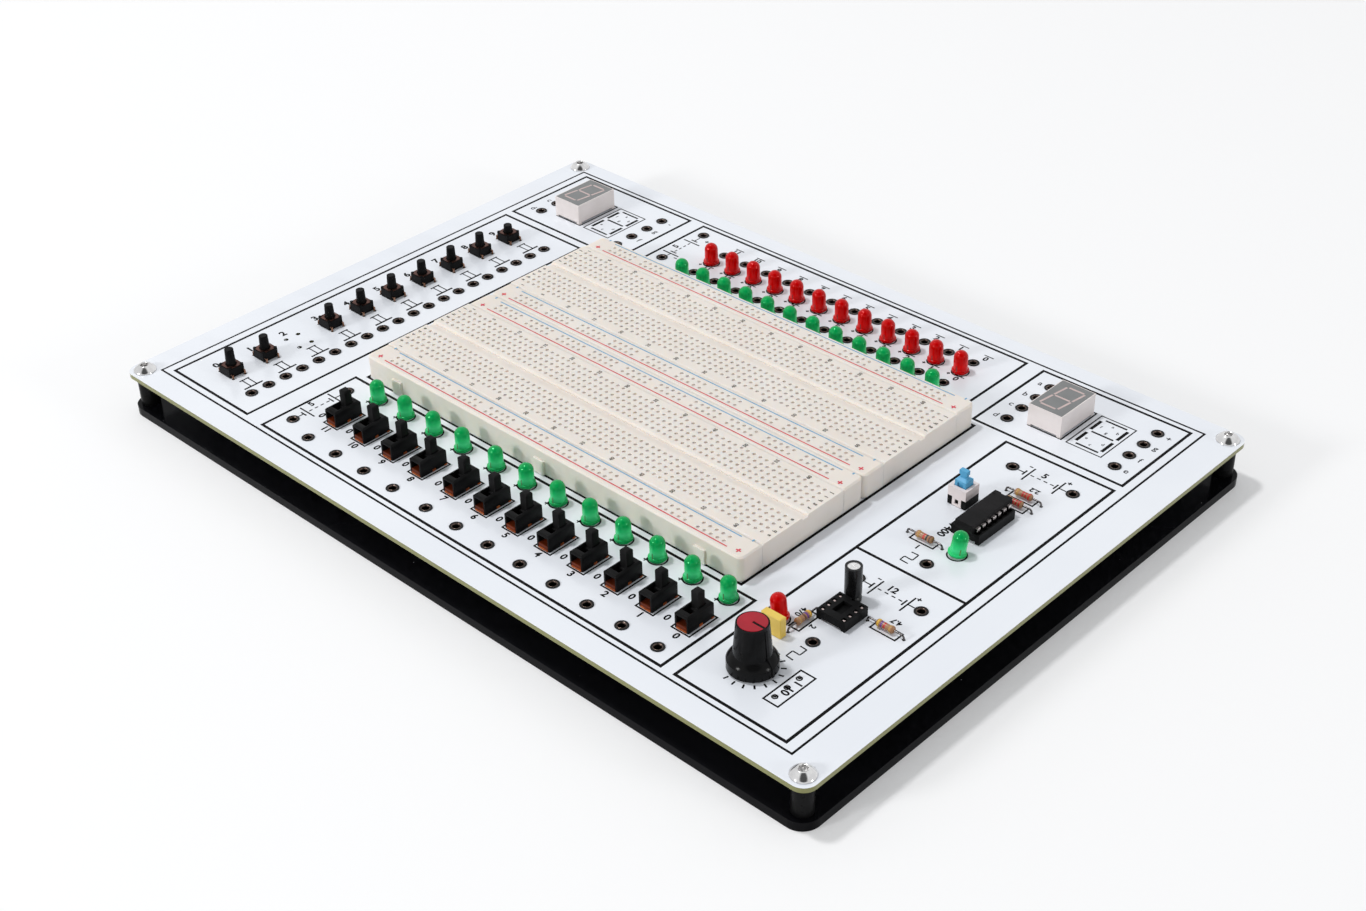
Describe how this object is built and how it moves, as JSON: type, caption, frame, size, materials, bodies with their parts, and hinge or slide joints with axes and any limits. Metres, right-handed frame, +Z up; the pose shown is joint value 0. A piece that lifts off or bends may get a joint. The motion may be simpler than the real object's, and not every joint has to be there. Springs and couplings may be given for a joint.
{
  "type": "digital logic trainer",
  "caption": "Desk-top logic training board: white circuit panel with solderless breadboards, slide switches, push buttons, lamps, displays and patch sockets over a black base.",
  "frame": {"origin": "centre of the base plate's underside", "axes": "+X to the right along the long side, +Y to the back, +Z up; the slide switches are at the front"},
  "size_m": [0.3, 0.213, 0.0312],
  "materials": {
    "panel_board": "satin white solder mask",
    "base_acrylic": "polished black with fine specks",
    "spacer_nylon": "moulded black",
    "screw_chrome": "bright plated",
    "breadboard_plastic": "warm white moulding",
    "contact_metal": "plated spring strip",
    "backing_foam": "thin foam sheet",
    "switch_plastic": "moulded black",
    "switch_wafer": "orange-brown phenolic",
    "slider_plastic": "moulded black",
    "button_plastic": "moulded black",
    "button_cover": "dark copper tint",
    "plunger_plastic": "moulded black",
    "green_lens": "diffused green epoxy",
    "red_lens": "diffused red epoxy",
    "tinned_lead": "tinned",
    "socket_plastic": "moulded black",
    "socket_metal": "nickel plated",
    "display_shell": "white moulding",
    "display_face": "grey face",
    "display_segment": "pale diffuser",
    "pulse_shell": "white moulding",
    "pulse_base": "moulded black",
    "pulse_blue": "moulded blue",
    "chip_epoxy": "black epoxy",
    "chip_socket": "moulded black",
    "capacitor_film": "shrunk black sleeve",
    "capacitor_metal": "bare can",
    "film_resin": "yellow resin case",
    "resistor_coat": "tan lacquer with colour bands",
    "pot_metal": "plated case",
    "pot_nut": "plated",
    "pot_shaft": "pale plastic",
    "knob_plastic": "moulded black",
    "knob_red": "red cap"
  },
  "bodies": {
    "trainer": {"panel_board": "panel_board", "base_plate": "base_acrylic", "spacers": "spacer_nylon", "corner_screws": "screw_chrome", "base_screws": "screw_chrome", "front_terminal_strip": "breadboard_plastic", "rear_terminal_strip": "breadboard_plastic", "front_bus_strips": "breadboard_plastic", "rear_bus_strips": "breadboard_plastic", "breadboard_clips": "contact_metal", "breadboard_backing": "backing_foam", "slide_switch_housings": "switch_plastic", "slide_switch_wafers": "switch_wafer", "push_button_housings": "button_plastic", "push_button_covers": "button_cover", "green_leds": "green_lens", "red_leds": "red_lens", "component_leads": "tinned_lead", "patch_socket_collars": "socket_plastic", "patch_socket_sleeves": "socket_metal", "display_housings": "display_shell", "display_faces": "display_face", "display_segments": "display_segment", "pulse_switch_housing": "pulse_shell", "pulse_switch_base": "pulse_base", "pulse_chip": "chip_epoxy", "chip_legs": "tinned_lead", "chip_sockets": "chip_socket", "capacitor_sleeve": "capacitor_film", "capacitor_can": "capacitor_metal", "film_capacitor": "film_resin", "resistors": "resistor_coat", "potentiometer_body": "pot_metal", "potentiometer_nut": "pot_nut"},
    "switch_0": {"slider_0": "slider_plastic"},
    "switch_1": {"slider_1": "slider_plastic"},
    "switch_2": {"slider_2": "slider_plastic"},
    "switch_3": {"slider_3": "slider_plastic"},
    "switch_4": {"slider_4": "slider_plastic"},
    "switch_5": {"slider_5": "slider_plastic"},
    "switch_6": {"slider_6": "slider_plastic"},
    "switch_7": {"slider_7": "slider_plastic"},
    "switch_8": {"slider_8": "slider_plastic"},
    "switch_9": {"slider_9": "slider_plastic"},
    "switch_10": {"slider_10": "slider_plastic"},
    "switch_11": {"slider_11": "slider_plastic"},
    "button_0": {"plunger_0": "plunger_plastic"},
    "button_1": {"plunger_1": "plunger_plastic"},
    "button_3": {"plunger_3": "plunger_plastic"},
    "button_4": {"plunger_4": "plunger_plastic"},
    "button_5": {"plunger_5": "plunger_plastic"},
    "button_6": {"plunger_6": "plunger_plastic"},
    "button_7": {"plunger_7": "plunger_plastic"},
    "button_8": {"plunger_8": "plunger_plastic"},
    "button_9": {"plunger_9": "plunger_plastic"},
    "pulse_button": {"pulse_button": "pulse_blue"},
    "clock_dial": {"clock_knob": "knob_plastic", "clock_knob_cap": "knob_red", "pot_shaft": "pot_shaft"}
  },
  "joints": [
    {"name": "switch_0_slide", "type": "slide", "parent": "trainer", "child": "switch_0", "axis": [0, -1, 0], "range_m": [0, 0.0032]},
    {"name": "switch_1_slide", "type": "slide", "parent": "trainer", "child": "switch_1", "axis": [0, -1, 0], "range_m": [0, 0.0032]},
    {"name": "switch_2_slide", "type": "slide", "parent": "trainer", "child": "switch_2", "axis": [0, -1, 0], "range_m": [0, 0.0032]},
    {"name": "switch_3_slide", "type": "slide", "parent": "trainer", "child": "switch_3", "axis": [0, -1, 0], "range_m": [0, 0.0032]},
    {"name": "switch_4_slide", "type": "slide", "parent": "trainer", "child": "switch_4", "axis": [0, -1, 0], "range_m": [0, 0.0032]},
    {"name": "switch_5_slide", "type": "slide", "parent": "trainer", "child": "switch_5", "axis": [0, -1, 0], "range_m": [0, 0.0032]},
    {"name": "switch_6_slide", "type": "slide", "parent": "trainer", "child": "switch_6", "axis": [0, -1, 0], "range_m": [0, 0.0032]},
    {"name": "switch_7_slide", "type": "slide", "parent": "trainer", "child": "switch_7", "axis": [0, -1, 0], "range_m": [0, 0.0032]},
    {"name": "switch_8_slide", "type": "slide", "parent": "trainer", "child": "switch_8", "axis": [0, -1, 0], "range_m": [0, 0.0032]},
    {"name": "switch_9_slide", "type": "slide", "parent": "trainer", "child": "switch_9", "axis": [0, -1, 0], "range_m": [0, 0.0032]},
    {"name": "switch_10_slide", "type": "slide", "parent": "trainer", "child": "switch_10", "axis": [0, -1, 0], "range_m": [0, 0.0032]},
    {"name": "switch_11_slide", "type": "slide", "parent": "trainer", "child": "switch_11", "axis": [0, -1, 0], "range_m": [0, 0.0032]},
    {"name": "button_0_press", "type": "slide", "parent": "trainer", "child": "button_0", "axis": [0, 0, -1], "range_m": [0, 0.00025], "stiffness_N_per_m": 300},
    {"name": "button_1_press", "type": "slide", "parent": "trainer", "child": "button_1", "axis": [0, 0, -1], "range_m": [0, 0.00025], "stiffness_N_per_m": 300},
    {"name": "button_3_press", "type": "slide", "parent": "trainer", "child": "button_3", "axis": [0, 0, -1], "range_m": [0, 0.00025], "stiffness_N_per_m": 300},
    {"name": "button_4_press", "type": "slide", "parent": "trainer", "child": "button_4", "axis": [0, 0, -1], "range_m": [0, 0.00025], "stiffness_N_per_m": 300},
    {"name": "button_5_press", "type": "slide", "parent": "trainer", "child": "button_5", "axis": [0, 0, -1], "range_m": [0, 0.00025], "stiffness_N_per_m": 300},
    {"name": "button_6_press", "type": "slide", "parent": "trainer", "child": "button_6", "axis": [0, 0, -1], "range_m": [0, 0.00025], "stiffness_N_per_m": 300},
    {"name": "button_7_press", "type": "slide", "parent": "trainer", "child": "button_7", "axis": [0, 0, -1], "range_m": [0, 0.00025], "stiffness_N_per_m": 300},
    {"name": "button_8_press", "type": "slide", "parent": "trainer", "child": "button_8", "axis": [0, 0, -1], "range_m": [0, 0.00025], "stiffness_N_per_m": 300},
    {"name": "button_9_press", "type": "slide", "parent": "trainer", "child": "button_9", "axis": [0, 0, -1], "range_m": [0, 0.00025], "stiffness_N_per_m": 300},
    {"name": "pulse_press", "type": "slide", "parent": "trainer", "child": "pulse_button", "axis": [0, 0, -1], "range_m": [0, 0.0015], "stiffness_N_per_m": 200},
    {"name": "clock_dial_turn", "type": "hinge", "parent": "trainer", "child": "clock_dial", "pos_m": [0.1079, -0.0791, 0.0156], "axis": [0, 0, 1], "range_deg": [-150, 150]}
  ]
}
